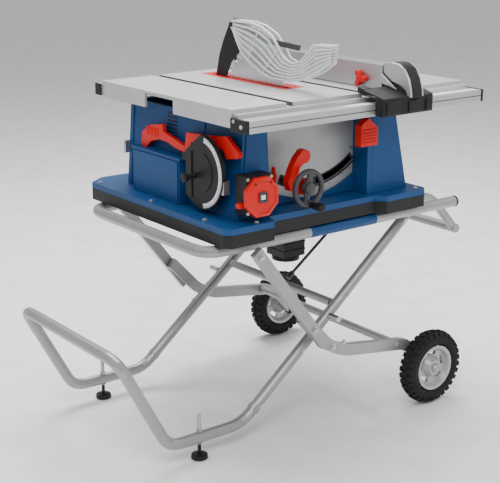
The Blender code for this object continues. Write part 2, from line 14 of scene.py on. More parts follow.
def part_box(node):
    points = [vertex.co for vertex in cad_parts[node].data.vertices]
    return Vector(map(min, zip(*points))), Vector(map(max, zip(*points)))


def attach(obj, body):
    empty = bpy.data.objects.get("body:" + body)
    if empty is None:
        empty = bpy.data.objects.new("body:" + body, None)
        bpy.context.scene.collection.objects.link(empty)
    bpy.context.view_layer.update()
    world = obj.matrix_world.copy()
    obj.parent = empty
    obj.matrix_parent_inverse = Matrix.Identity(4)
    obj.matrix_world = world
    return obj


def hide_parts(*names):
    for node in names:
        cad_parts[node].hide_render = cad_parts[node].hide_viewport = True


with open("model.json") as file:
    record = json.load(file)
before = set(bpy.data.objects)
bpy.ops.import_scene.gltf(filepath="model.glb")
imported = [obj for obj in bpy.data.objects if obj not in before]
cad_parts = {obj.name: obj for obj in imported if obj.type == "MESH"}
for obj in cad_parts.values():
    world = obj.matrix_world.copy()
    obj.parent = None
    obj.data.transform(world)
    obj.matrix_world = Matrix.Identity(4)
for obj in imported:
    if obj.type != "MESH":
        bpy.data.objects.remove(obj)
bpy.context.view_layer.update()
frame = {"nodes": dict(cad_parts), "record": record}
NODES = frame["nodes"]
TABLE_LOW, TABLE_HIGH = (Vector(corner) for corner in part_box("main_table"))
TABLE_TOP = TABLE_HIGH.z
TABLE_DEPTH = TABLE_HIGH.y - TABLE_LOW.y
MID_Y = TABLE_DEPTH / 2
BLADE_X = 0.300
SHAFT_X, SHAFT_Z = 0.225, 0.634
FRAME_HALF, FRAME_Z = 0.255, 0.517
LEG_HALF, LEG_FOOT = 0.225, (0.094, 0.078)
CRANK_Z = SHAFT_Z - 0.0385
AXES = {"X": (1, 2, 0), "Y": (0, 2, 1), "Z": (0, 1, 2)}


def at(x, y, z):
    """A place from the table's front left corner and the floor."""
    return Vector((x + TABLE_LOW.x, y + TABLE_LOW.y, z))


# Camera, light and floor ----------------------------------------------------

def make_camera():
    """The photograph's viewing angle."""
    data = bpy.data.cameras.new("camera")
    data.lens = 83.96
    data.sensor_width = 36.0
    camera = bpy.data.objects.new("camera", data)
    bpy.context.scene.collection.objects.link(camera)
    camera.location = at(-1.5081, -2.0411, 1.28)
    camera.rotation_euler = (math.radians(90 - 16.204), 0.0, math.radians(-37.389))
    bpy.context.scene.camera = camera


def make_light(name, place, size, power, target=(0.0, 0.0, 0.5)):
    """A soft square lamp aimed at the saw."""
    data = bpy.data.lights.new(name, "AREA")
    data.size = size
    data.energy = power
    lamp = bpy.data.objects.new(name, data)
    bpy.context.scene.collection.objects.link(lamp)
    lamp.location = place
    lamp.rotation_euler = (Vector(target) - Vector(place)).to_track_quat("-Z", "Y").to_euler()


def make_studio():
    """Pale floor, pale world and three soft lamps."""
    world = bpy.data.worlds.new("studio")
    bpy.context.scene.world = world
    world.use_nodes = True
    world.node_tree.nodes["Background"].inputs["Color"].default_value = (1.0, 1.0, 1.0, 1.0)
    world.node_tree.nodes["Background"].inputs["Strength"].default_value = 0.55
    make_light("key", (-1.8, -2.4, 3.2), 1.6, 75)
    make_light("fill", (2.6, -1.6, 1.9), 2.2, 25)
    make_light("top", (0.4, 0.9, 3.2), 2.4, 170)
    bm = bmesh.new()
    bmesh.ops.create_circle(bm, cap_ends=True, segments=96, radius=14.0)
    mesh = bpy.data.meshes.new("floor")
    bm.to_mesh(mesh)
    bm.free()
    floor = bpy.data.objects.new("floor", mesh)
    bpy.context.scene.collection.objects.link(floor)
    floor.location.z = -0.0005
    mesh.materials.append(surface("floor_paper", (0.97, 0.97, 0.97), 0.8, grain=300, bump=0.02))


# Materials -------------------------------------------------------------------

def surface(name, colour, roughness, metallic=0.0, grain=400.0, bump=0.1, stretch=(1, 1, 1),
            mottle=0.06, coat=0.0, scratches=0.0, gloss=0.5):
    """A procedural finish: colour mottling, grain in roughness and bump, and fine scratches."""
    made = bpy.data.materials.new(name)
    made.use_nodes = True
    nodes = made.node_tree.nodes
    links = made.node_tree.links
    shader = nodes["Principled BSDF"]
    shader.inputs["Metallic"].default_value = metallic
    shader.inputs["Coat Weight"].default_value = coat
    shader.inputs["Specular IOR Level"].default_value = gloss
    place = nodes.new("ShaderNodeTexCoord")
    mapping = nodes.new("ShaderNodeMapping")
    mapping.inputs["Scale"].default_value = stretch
    links.new(place.outputs["Object"], mapping.inputs["Vector"])
    fine = nodes.new("ShaderNodeTexNoise")
    fine.inputs["Scale"].default_value = grain
    fine.inputs["Detail"].default_value = 4.0
    links.new(mapping.outputs["Vector"], fine.inputs["Vector"])
    broad = nodes.new("ShaderNodeTexNoise")
    broad.inputs["Scale"].default_value = 9.0
    broad.inputs["Detail"].default_value = 5.0
    links.new(place.outputs["Object"], broad.inputs["Vector"])
    ramp = nodes.new("ShaderNodeValToRGB")
    dark = [max(0.0, c * (1 - mottle * 1.5)) for c in colour]
    light = [min(1.0, c * (1 + mottle) + mottle * 0.01) for c in colour]
    ramp.color_ramp.elements[0].position = 0.3
    ramp.color_ramp.elements[1].position = 0.7
    ramp.color_ramp.elements[0].color = (*dark, 1.0)
    ramp.color_ramp.elements[1].color = (*light, 1.0)
    links.new(broad.outputs["Fac"], ramp.inputs["Fac"])
    links.new(ramp.outputs["Color"], shader.inputs["Base Color"])
    spread = nodes.new("ShaderNodeMapRange")
    spread.inputs["To Min"].default_value = max(0.03, roughness - 0.08)
    spread.inputs["To Max"].default_value = min(1.0, roughness + 0.08)
    links.new(fine.outputs["Fac"], spread.inputs["Value"])
    links.new(spread.outputs["Result"], shader.inputs["Roughness"])
    relief = nodes.new("ShaderNodeBump")
    relief.inputs["Strength"].default_value = bump
    relief.inputs["Distance"].default_value = 0.0006
    links.new(fine.outputs["Fac"], relief.inputs["Height"])
    links.new(relief.outputs["Normal"], shader.inputs["Normal"])
    if scratches:
        add_scratches(nodes, links, place, relief, scratches)
    return made


def add_scratches(nodes, links, place, relief, strength):
    """Long thin cell edges under the grain, as handling marks."""
    cells = nodes.new("ShaderNodeTexVoronoi")
    cells.feature = "DISTANCE_TO_EDGE"
    cells.inputs["Scale"].default_value = 14.0
    links.new(place.outputs["Object"], cells.inputs["Vector"])
    step = nodes.new("ShaderNodeMapRange")
    step.inputs["From Max"].default_value = 0.012
    links.new(cells.outputs["Distance"], step.inputs["Value"])
    marks = nodes.new("ShaderNodeBump")
    marks.inputs["Strength"].default_value = strength
    marks.inputs["Distance"].default_value = 0.0002
    links.new(step.outputs["Result"], marks.inputs["Height"])
    links.new(marks.outputs["Normal"], relief.inputs["Normal"])


def clear_plastic(name, roughness, clearness):
    """Clear moulded plastic with faint haze in its roughness."""
    made = surface(name, (0.93, 0.95, 0.96), roughness, grain=90, bump=0.25, mottle=0.02)
    shader = made.node_tree.nodes["Principled BSDF"]
    shader.inputs["Transmission Weight"].default_value = clearness
    shader.inputs["IOR"].default_value = 1.42
    return made


FINISH = {
    "table": surface("ground_aluminium", (0.60, 0.605, 0.61), 0.40, 0.6, 260, 0.16, (0.04, 1, 1),
            0.04, 0, 0.08),
    "rail": surface("extruded_aluminium", (0.56, 0.565, 0.57), 0.36, 0.7, 240, 0.10, (0.03, 1, 1), 0.03),
    "fence": surface("fence_aluminium", (0.50, 0.51, 0.52), 0.36, 0.75, 240, 0.10, (1, 0.03, 1), 0.04),
    "blue": surface("blue_moulding", (0.003, 0.055, 0.180), 0.45, 0, 900, 0.22, mottle=0.08, gloss=0.3),
    "black": surface("black_moulding", (0.009, 0.009, 0.010), 0.50, 0, 800, 0.28, mottle=0.15, gloss=0.3),
    "grey": surface("grey_moulding", (0.050, 0.050, 0.054), 0.46, 0, 800, 0.2, mottle=0.1, gloss=0.4),
    "red": surface("red_moulding", (0.62, 0.006, 0.003), 0.38, 0, 700, 0.1, mottle=0.05, gloss=0.3),
    "steel": surface("bright_steel", (0.62, 0.62, 0.63), 0.26, 1.0, 500, 0.08, (1, 1, 0.1), 0.05),
    "zinc": surface("zinc_plate", (0.55, 0.55, 0.53), 0.35, 0.9, 600, 0.1, mottle=0.12),
    "stand": surface("silver_powder_coat", (0.34, 0.34, 0.345), 0.36, 0.5, 1400, 0.22, mottle=0.05,
            scratches=0.05),
    "panel": surface("silver_paint", (0.42, 0.425, 0.43), 0.40, 0.45, 1100, 0.15, mottle=0.04),
    "tyre": surface("tread_rubber", (0.012, 0.012, 0.012), 0.85, 0, 500, 0.5, mottle=0.25, gloss=0.3),
    "white": surface("printed_white", (0.80, 0.80, 0.80), 0.5, 0, 600, 0.05, mottle=0.03),
    "clear": clear_plastic("clear_guard", 0.12, 0.88),
    "frost": clear_plastic("moulded_ribs", 0.25, 0.30),
}


def dress_nodes():
    """Give every CAD node its finish, and break the sharp edges."""
    special = {"front_rail": "rail", "rear_rail": "rail", "fence_beam": "fence", "blade": "steel"}
    slots = {part["node"]: part["material_slot"] for part in frame["record"]["subparts"]}
    for name, node in NODES.items():
        finish = FINISH[special.get(name, slots[name])]
        node.data.materials.clear()
        node.data.materials.append(finish)
    soft = {"main_table": 0.0012, "extension_table": 0.0012, "front_rail": 0.0012, "rear_rail": 0.0012}
    soft.update({"fence_beam": 0.0015, "fence_head": 0.004, "fence_lever": 0.005, "switch_box": 0.004})
    soft.update({"base_pan": 0.003, "base_flange": 0.003, "housing_left": 0.003, "housing_right": 0.003})
    soft.update({"flat_leg_front": 0.003, "flat_leg_rear": 0.003, "extension_lock_lever": 0.003})
    soft.update({"bevel_lock_lever": 0.004, "push_stick": 0.002, "motor_housing": 0.002})
    for name, width in soft.items():
        bevel = NODES[name].modifiers.new("soft_edges", "BEVEL")
        bevel.width = width
        bevel.segments = 2
        bevel.limit_method = "ANGLE"
        bevel.angle_limit = math.radians(40)


# Mesh builders -----------------------------------------------------------------

def point(axis, across, up, along):
    """A 3-D point from a profile's two coordinates and one along an axis."""
    values = [0.0, 0.0, 0.0]
    for slot, value in zip(AXES[axis], (across, up, along)):
        values[slot] = value
    return at(*values)


def skin(bm, rings, closed=False):
    """Add a skin over point rings to a mesh."""
    made = [[bm.verts.new(p) for p in ring] for ring in rings]
    count = len(rings[0])
    faces = []
    pairs = list(zip(made, made[1:]))
    if closed:
        pairs.append((made[-1], made[0]))
    for low, high in pairs:
        for i in range(count):
            j = (i + 1) % count
            faces.append(bm.faces.new((low[i], low[j], high[j], high[i])))
    if not closed:
        faces.append(bm.faces.new(made[0]))
        faces.append(bm.faces.new(made[-1]))
    bmesh.ops.recalc_face_normals(bm, faces=faces)


def add_prism(bm, axis, outline, low, high):
    """Extrude an outline between two stations of an axis."""
    skin(bm, [[point(axis, a, u, station) for a, u in outline] for station in (low, high)])


def add_block(bm, x0, x1, y0, y1, z0, z1):
    """A rectangular solid."""
    add_prism(bm, "Z", [(x0, y0), (x1, y0), (x1, y1), (x0, y1)], z0, z1)


def ring_of(across, up, radius, sides=24, start=0.0):
    """Outline of a regular polygon."""
    turns = [start + 2 * math.pi * i / sides for i in range(sides)]
    return [(across + radius * math.cos(t), up + radius * math.sin(t)) for t in turns]


def arc(across, up, radius, first, last, steps):
    """Points on an arc between two angles in degrees."""
    angles = [math.radians(first + (last - first) * i / steps) for i in range(steps + 1)]
    return [(across + radius * math.cos(t), up + radius * math.sin(t)) for t in angles]


def add_turned(bm, axis, across, up, profile, sides=32, closed=False):
    """Turn (station, radius) pairs about an axis."""
    rings = []
    for station, radius in profile:
        rings.append([point(axis, a, u, station) for a, u in ring_of(across, up, radius, sides)])
    skin(bm, rings, closed)


def add_tube(bm, path, radius, sides=10):
    """A round rod along a path of frame points."""
    rings = []
    for i, here in enumerate(path):
        before = path[max(0, i - 1)]
        after = path[min(len(path) - 1, i + 1)]
        turn = (after - before).to_track_quat("Z", "Y").to_matrix()
        rings.append([here + turn @ Vector((radius * math.cos(t), radius * math.sin(t), 0))
                      for t in [2 * math.pi * k / sides for k in range(sides)]])
    skin(bm, rings)


def add_bolt(bm, axis, across, up, face, out, size=0.006):
    """Hex head on a washer; out is +1 or -1 along the axis."""
    add_turned(bm, axis, across, up, [(face, size * 1.5), (face + out * 0.0012, size * 1.5)], 20)
    start, end = face + out * 0.0010, face + out * (0.0010 + size * 0.75)
    add_turned(bm, axis, across, up, [(start, size), (end - out * 0.001, size), (end, size * 0.85)], 6)


def piece(name, bm, finish, body, stands_for=(), bevel=0.0, smooth=40):
    """Make a riding piece from a mesh."""
    mesh = bpy.data.meshes.new(name)
    bm.to_mesh(mesh)
    bm.free()
    mesh.materials.append(FINISH[finish])
    mesh.shade_smooth()
    mesh.set_sharp_from_angle(angle=math.radians(smooth))
    made = bpy.data.objects.new(name, mesh)
    bpy.context.scene.collection.objects.link(made)
    if bevel:
        modifier = made.modifiers.new("soft_edges", "BEVEL")
        modifier.width = bevel
        modifier.segments = 2
        modifier.limit_method = "ANGLE"
        modifier.angle_limit = math.radians(40)
    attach(made, body)
    if stands_for:
        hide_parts(*stands_for)
    return made


# Wheels ----------------------------------------------------------------------------

def make_wheels():
    """Knobbly tyres and dished rims with slots and a hub cap."""
    for side, sign in (("front", -1), ("rear", 1)):
        low, high = (Vector(c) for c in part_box(f"tyre_{side}"))
        x = (low.x + high.x) / 2 - TABLE_LOW.x
        y = (low.y + high.y) / 2 - TABLE_LOW.y
        z = (low.z + high.z) / 2
        radius = (high.z - low.z) / 2
        bm = bmesh.new()
        half = 0.023
        loop = []
        for i in range(20):
            angle = 2 * math.pi * i / 20
            loop.append((y + half * math.cos(angle), 0.0765 + 0.0185 * math.sin(angle)))
        add_turned(bm, "Y", x, z, loop, 64, closed=True)
        add_lugs(bm, x, y, z, radius)
        piece(f"tyre_tread_{side}", bm, "tyre", f"wheel_{side}", (f"tyre_{side}",), 0.0006)
        bm = bmesh.new()
        profile = [(y - 0.018, 0.053), (y - 0.020, 0.0605), (y - 0.017, 0.0605), (y - 0.010, 0.054)]
        profile += [(y + 0.010, 0.054), (y + 0.017, 0.0605), (y + 0.020, 0.0605), (y + 0.018, 0.053)]
        profile += [(y + 0.006, 0.047), (y + 0.004, 0.030), (y + 0.012, 0.024), (y + 0.020, 0.020),
                (y + 0.020, 0.009)]
        profile += [(y - 0.020, 0.009), (y - 0.020, 0.020), (y - 0.012, 0.024), (y - 0.004, 0.030),
                (y - 0.006, 0.047)]
        add_turned(bm, "Y", x, z, profile, 48, closed=True)
        rim = piece(f"rim_dish_{side}", bm, "panel", f"wheel_{side}", (f"rim_{side}",), 0.0)
        cut_rim_slots(rim, side, x, y, z)
        bm = bmesh.new()
        face = y + sign * 0.0205
        tip = face + sign * 0.008
        add_turned(bm, "Y", x, z, [(face, 0.0125), (face + sign * 0.003, 0.0125), (tip, 0.009),
                (tip + sign * 0.0006, 0.005)], 28)
        piece(f"hub_cap_{side}", bm, "zinc", "wheel_leg")


def add_lugs(bm, x, y, z, radius):
    """Three staggered rows of tread blocks, with shoulder blocks that lean outwards."""
    count = 30
    rows = ((-0.0165, 0.0905, 0.5, 0.007), (0.0, radius - 0.0045, 0.0, 0.0095),
            (0.0165, 0.0905, 0.5, 0.007))
    for across, base, shift, width in rows:
        for i in range(count):
            angle = 2 * math.pi * (i + shift) / count
            spread = 2 * math.pi / count * 0.30
            corners = []
            for height, wide in ((base - 0.004, width), (base + 0.0042, width * 0.8)):
                for turn in (-spread, spread):
                    for side in (-wide, wide):
                        reach = height - (0.0 if across == 0 else 0.0020 * (1 if side * across > 0 else -1))
                        t = angle + turn
                        corners.append(at(x + reach * math.cos(t),
                                y + across + side * 0.75, z + reach * math.sin(t)))
            verts = [bm.verts.new(c) for c in corners]
            faces = [(0, 1, 3, 2), (4, 6, 7, 5), (0, 4, 5, 1), (2, 3, 7, 6), (0, 2, 6, 4), (1, 5, 7, 3)]
            made = [bm.faces.new([verts[k] for k in face]) for face in faces]
            bmesh.ops.recalc_face_normals(bm, faces=made)


def cut_rim_slots(rim, side, x, y, z):
    """Five kidney slots through the dish."""
    bm = bmesh.new()
    for i in range(5):
        middle = 90 + i * 72
        outline = arc(x, z, 0.044, middle - 22, middle + 22, 6) + arc(x, z, 0.033, middle + 22,
                middle - 22, 6)
        add_prism(bm, "Y", outline, y - 0.03, y + 0.03)
    mesh = bpy.data.meshes.new(f"rim_slots_{side}")
    bm.to_mesh(mesh)
    bm.free()
    tool = bpy.data.objects.new(f"rim_slots_{side}", mesh)
    bpy.context.scene.collection.objects.link(tool)
    modifier = rim.modifiers.new("slots", "BOOLEAN")
    modifier.object = tool
    bpy.context.view_layer.update()
    depsgraph = bpy.context.evaluated_depsgraph_get()
    cut = bpy.data.meshes.new_from_object(rim.evaluated_get(depsgraph))
    rim.modifiers.clear()
    rim.data = cut
    bpy.data.objects.remove(tool, do_unlink=True)


# Guards and blade ------------------------------------------------------------------

GUARD_CREST = [(0.396, 0.980), (0.380, 0.990), (0.316, 0.9915), (0.270, 0.985), (0.224, 0.967),
        (0.195, 0.938),
               (0.173, 0.914), (0.140, 0.906), (0.111, 0.914), (0.063, 0.957), (0.001, 0.960)]
GUARD_FOOT = [(0.382, 0.966), (0.366, 0.940), (0.346, 0.912), (0.322, 0.897), (0.300, 0.886),
        (0.262, 0.870),
              (0.221, 0.862), (0.157, 0.863), (0.110, 0.872), (0.050, 0.895), (0.007, 0.921)]


def make_guards():
    """Clear side guards with raised ribs that follow their length."""
    for side in ("left", "right"):
        low, high = (Vector(c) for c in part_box(f"guard_{side}"))
        inner, outer = low.x - TABLE_LOW.x, high.x - TABLE_LOW.x
        middle = (inner + outer) / 2
        bm = bmesh.new()
        outline = GUARD_CREST + list(reversed(GUARD_FOOT))
        add_prism(bm, "X", outline, middle - 0.0011, middle + 0.0011)
        piece(f"guard_sheet_{side}", bm, "clear", f"guard_{side}", (f"guard_{side}",))
        bm = bmesh.new()
        for share in (0.0, 0.17, 0.34, 0.5, 0.66, 0.83, 1.0):
            route = []
            for (y0, z0), (y1, z1) in zip(GUARD_CREST, GUARD_FOOT):
                route.append(at(middle, y0 + (y1 - y0) * share, z0 + (z1 - z0) * share))
            add_tube(bm, route, 0.0034, 8)
        for i in range(1, len(GUARD_CREST) - 1, 2):
            (y0, z0), (y1, z1) = GUARD_CREST[i], GUARD_FOOT[i]
            add_tube(bm, [at(middle, y0, z0), at(middle, (y0 + y1) / 2,
                    (z0 + z1) / 2), at(middle, y1, z1)], 0.0024, 8)
        piece(f"guard_ribs_{side}", bm, "frost", f"guard_{side}")
    bm = bmesh.new()
    add_turned(bm, "X", 0.388, 0.981, [(0.2845, 0.004), (0.2848, 0.0065), (0.3152, 0.0065),
            (0.3155, 0.004)], 20)
    piece("guard_pin", bm, "black", "carriage")


def make_fence_details():
    """Ridges, end cap, lever shell and grip, head moulding, wing nut and screws of the rip fence."""
    bm = bmesh.new()
    for z in (0.8795, 0.8600):
        add_block(bm, 0.4538, 0.4552, 0.006, 0.588, z, z + 0.0022)
        add_block(bm, 0.4998, 0.5012, 0.006, 0.588, z, z + 0.0022)
    for x in (0.463, 0.4765, 0.490):
        add_block(bm, x - 0.0012, x + 0.0012, 0.006, 0.588, 0.9038, 0.9050)
    piece("fence_ridges", bm, "fence", "fence")
    bm = bmesh.new()
    add_prism(bm, "X", [(0.5905, 0.806), (0.5975, 0.806), (0.5975, 0.906), (0.5905, 0.906)], 0.452, 0.503)
    piece("fence_end_cap", bm, "black", "fence", bevel=0.002)
    shell = [(-0.002, 0.887), (-0.002, 0.909), (-0.026, 0.9135), (-0.052, 0.9120), (-0.072, 0.900),
            (-0.086, 0.880)]
    shell += [(-0.094, 0.855), (-0.096, 0.838), (-0.086, 0.836), (-0.078, 0.852), (-0.060, 0.862),
            (-0.034, 0.868)]
    bm = bmesh.new()
    add_prism(bm, "X", shell, 0.4560, 0.4640)
    add_prism(bm, "X", shell, 0.4910, 0.4990)
    add_prism(bm, "X", [(-0.002, 0.889), (-0.002, 0.907), (-0.030, 0.911), (-0.030, 0.892)], 0.4600, 0.4950)
    piece("fence_lever_shell", bm, "rail", "fence_cam", ("fence_lever",), 0.0012)
    bm = bmesh.new()
    grip = [(-0.030, 0.9150), (-0.053, 0.9140), (-0.0745, 0.9015), (-0.0885, 0.8805),
            (-0.0970, 0.8550), (-0.0985, 0.8370)]
    grip += [(-0.0880, 0.8380), (-0.0840, 0.8560), (-0.0760, 0.8750), (-0.0640, 0.8920), (-0.0300, 0.9020)]
    add_prism(bm, "X", grip, 0.4625, 0.4925)
    piece("fence_lever_grip", bm, "black", "fence_cam", bevel=0.0015)
    bm = bmesh.new()
    side = [(-0.0520, 0.8520), (0.0010, 0.8620), (0.0010, 0.8840), (-0.0320, 0.8640)]
    add_prism(bm, "X", side, 0.4500, 0.4550)
    add_prism(bm, "X", side, 0.5000, 0.5050)
    piece("fence_cheeks", bm, "rail", "fence", bevel=0.001)
    bm = bmesh.new()
    outline = [(-0.090, 0.798), (-0.0625, 0.798), (-0.0625, 0.836), (-0.0140, 0.842),
            (-0.0140, 0.856), (-0.070, 0.846)]
    outline += [(-0.090, 0.840)]
    add_prism(bm, "X", outline, 0.374, 0.538)
    for low, high in ((0.374, 0.398), (0.452, 0.503)):
        add_prism(bm, "X", [(-0.020, 0.8425), (0.0014, 0.8450), (0.0014, 0.8610), (-0.020, 0.8560)],
                low, high)
    for low, high in ((0.384, 0.428), (0.456, 0.500), (0.514, 0.534)):
        add_prism(bm, "X", [(-0.0935, 0.802), (-0.0885, 0.802), (-0.0885, 0.834), (-0.0935, 0.830)],
                low, high)
    piece("fence_head_moulding", bm, "black", "fence", ("fence_head",), 0.002)
    bm = bmesh.new()
    wings = []
    for i in range(36):
        angle = 2 * math.pi * i / 36
        radius = 0.0135 + 0.0080 * math.cos(3 * angle - math.pi)
        wings.append((0.07 + radius * math.cos(angle), 0.866 + radius * math.sin(angle)))
    add_prism(bm, "X", wings, 0.4395, 0.4540)
    add_turned(bm, "X", 0.07, 0.866, [(0.4382, 0.0050), (0.4382, 0.0085), (0.4400, 0.0095)], 20)
    piece("wing_nut_lobes", bm, "red", "wing_nut", ("fence_wing_nut",), 0.0012)
    bm = bmesh.new()
    for y, z in ((-0.008, 0.872), (-0.026, 0.863)):
        add_bolt(bm, "X", y, z, 0.4500, -1, 0.0024)
    add_bolt(bm, "X", 0.220, 0.866, 0.4548, -1, 0.0060)
    piece("fence_screws", bm, "zinc", "fence")
    bm = bmesh.new()
    add_block(bm, 0.372, 0.440, -0.064, -0.030, 0.8400, 0.8440)
    piece("fence_pointer_window", bm, "grey", "fence", bevel=0.0015)


# Controls ---------------------------------------------------------------------------

def make_handwheel():
    """Rim, two spokes and hub of the height wheel."""
    bm = bmesh.new()
    loop = [(0.0075 * math.cos(t),
            0.0405 + 0.0062 * math.sin(t)) for t in [math.pi * i / 6 for i in range(12)]]
    add_turned(bm, "Y", SHAFT_X, SHAFT_Z, loop, 56, closed=True)
    add_turned(bm, "Y", SHAFT_X, SHAFT_Z, [(-0.0130, 0.009), (-0.0100, 0.0135), (0.0095, 0.0150),
            (0.0100, 0.006)], 28)
    for angle in (80, 260):
        t = math.radians(angle)
        along = Vector((math.cos(t), 0, math.sin(t)))
        side = Vector((-math.sin(t), 0, math.cos(t)))
        centre = at(SHAFT_X, 0, SHAFT_Z)
        rings = []
        for reach, width, thick in ((0.008, 0.011, 0.006), (0.022, 0.0075, 0.0045), (0.038, 0.009, 0.005)):
            middle = centre + along * reach
            rings.append([middle + side * (width * a) + Vector((0, thick * b, 0))
                          for a, b in ((-1, -0.6), (-0.6, -1), (0.6, -1), (1, -0.6), (1, 0.6),
                                  (0.6, 1), (-0.6, 1), (-1, 0.6))])
        skin(bm, rings)
    add_turned(bm, "Y", SHAFT_X, CRANK_Z, [(-0.0095, 0.006), (-0.0080, 0.0095),
            (0.0070, 0.0095)], 20)
    add_turned(bm, "Y", SHAFT_X, SHAFT_Z, [(0.009, 0.0055), (0.118, 0.0055), (0.118, 0.010),
            (0.130, 0.013)], 20)
    piece("handwheel_spoked", bm, "grey", "handwheel", ("handwheel",))
    bm = bmesh.new()
    y = -0.0085
    profile = [(y, 0.005), (y - 0.003, 0.0085), (y - 0.010, 0.0078), (y - 0.024, 0.0098),
            (y - 0.038, 0.0105)]
    profile += [(y - 0.044, 0.0088), (y - 0.0472, 0.005)]
    add_turned(bm, "Y", SHAFT_X, CRANK_Z, profile, 28)
    piece("crank_knob_grip", bm, "black", "crank", ("crank_knob",))


def make_switch():
    """Octagonal stop paddle with its window, button and holes, and the switch box screws."""
    x, z = 0.065, 0.642
    bm = bmesh.new()
    outer = ring_of(x, z, 0.0495, 8, math.pi / 8)
    inner = ring_of(x, z, 0.0400, 8, math.pi / 8)
    rings = [[point("Y", a, u, s) for a, u in outline]
             for outline, s in ((outer, -0.0185), (outer, -0.0300), (inner, -0.0340), (inner, -0.0305),
                                (ring_of(x, z, 0.0200, 8, math.pi / 8), -0.0305))]
    skin(bm, rings)
    piece("paddle_octagon", bm, "red", "paddle", ("switch_paddle",), 0.001)
    bm = bmesh.new()
    square = ring_of(x, z, 0.0165, 4, math.pi / 4)
    hole = ring_of(x, z, 0.0120, 4, math.pi / 4)
    rings = [[point("Y", a, u, s) for a, u in outline]
             for outline, s in ((square, -0.0300), (square, -0.0345), (hole, -0.0345), (hole, -0.0315))]
    skin(bm, rings)
    piece("paddle_window", bm, "grey", "paddle", bevel=0.0005)
    bm = bmesh.new()
    add_block(bm, x - 0.006, x + 0.006, -0.0335, -0.0300, z - 0.0055, z + 0.0055)
    piece("paddle_button", bm, "white", "paddle", bevel=0.0008)
    bm = bmesh.new()
    for dx in (-0.022, 0.022):
        add_turned(bm, "Y", x + dx, z + 0.033, [(-0.0338, 0.0028), (-0.0342, 0.0028)], 16)
    piece("paddle_holes", bm, "black", "paddle")
    bm = bmesh.new()
    for dx in (-0.033, 0.033):
        for dz in (0.606, 0.684):
            add_bolt(bm, "Y", x + dx, dz, -0.0178, -1, 0.0028)
    piece("switch_screws", bm, "zinc", "frame")
    bm = bmesh.new()
    add_block(bm, 0.013, 0.029, -0.010, 0.004, 0.617, 0.629)
    piece("switch_tab", bm, "red", "frame", bevel=0.0015)


def make_panel_scale():
    """Degree ticks, slot rim, stop lever, latch ribs and screws on the panel, and the apron below."""
    bm = bmesh.new()
    y = 0.0853
    for step in range(48):
        angle = math.radians(251 + step * 1.15)
        length = 0.010 if step % 15 == 0 else (0.006 if step % 5 == 0 else 0.0035)
        along = Vector((math.cos(angle), 0, math.sin(angle)))
        side = Vector((-math.sin(angle), 0, math.cos(angle))) * 0.0004
        centre = at(BLADE_X, y, TABLE_TOP)
        near, far = centre + along * 0.2345, centre + along * (0.2345 + length)
        rings = [[p - side,
                p + side, p + side + Vector((0, -0.0004, 0)), p - side + Vector((0, -0.0004, 0))]
                 for p in (near, far)]
        skin(bm, rings)
    piece("bevel_scale_ticks", bm, "black", "frame")
    bm = bmesh.new()
    add_prism(bm, "Y", [(0.167, 0.640), (0.184, 0.632), (0.186, 0.655), (0.181, 0.678),
            (0.177, 0.677), (0.176, 0.656)], 0.070, 0.080)
    piece("bevel_stop_lever", bm, "red", "frame", bevel=0.0015)
    bm = bmesh.new()
    for i in range(5):
        z = 0.716 + i * 0.0075
        add_block(bm, 0.402, 0.447, 0.0045, 0.0075, z, z + 0.0035)
    piece("extension_lock_ribs", bm, "red", "extension_lock", bevel=0.0008)
    bm = bmesh.new()
    for x, z in ((0.445, 0.772), (0.180, 0.770), (0.448, 0.668), (0.432, 0.690)):
        add_bolt(bm, "Y", x, z, 0.0853, -1, 0.0035)
    piece("bevel_panel_screws", bm, "zinc", "frame")
    bm = bmesh.new()
    rim_out = arc(BLADE_X, TABLE_TOP, 0.2345, 244.5, 308.5, 24) + arc(BLADE_X, TABLE_TOP, 0.2095,
            308.5, 244.5, 24)
    rim_in = arc(BLADE_X, TABLE_TOP, 0.2315, 245, 308, 24) + arc(BLADE_X, TABLE_TOP, 0.2125, 308, 245, 24)
    rings = [[point("Y", a, u, s) for a, u in outline]
             for outline, s in ((rim_out, 0.0853), (rim_out, 0.0835), (rim_in, 0.0835), (rim_in, 0.0853))]
    skin(bm, rings, closed=True)
    piece("bevel_slot_rim", bm, "black", "frame")
    bm = bmesh.new()
    apron = arc(BLADE_X, TABLE_TOP, 0.2560, 240, 312, 28) + [(0.4712, 0.5812), (0.1720, 0.5812)]
    add_prism(bm, "Y", apron, 0.0800, 0.0853)
    piece("bevel_apron", bm, "blue", "frame", bevel=0.001)


# Housing -----------------------------------------------------------------------------

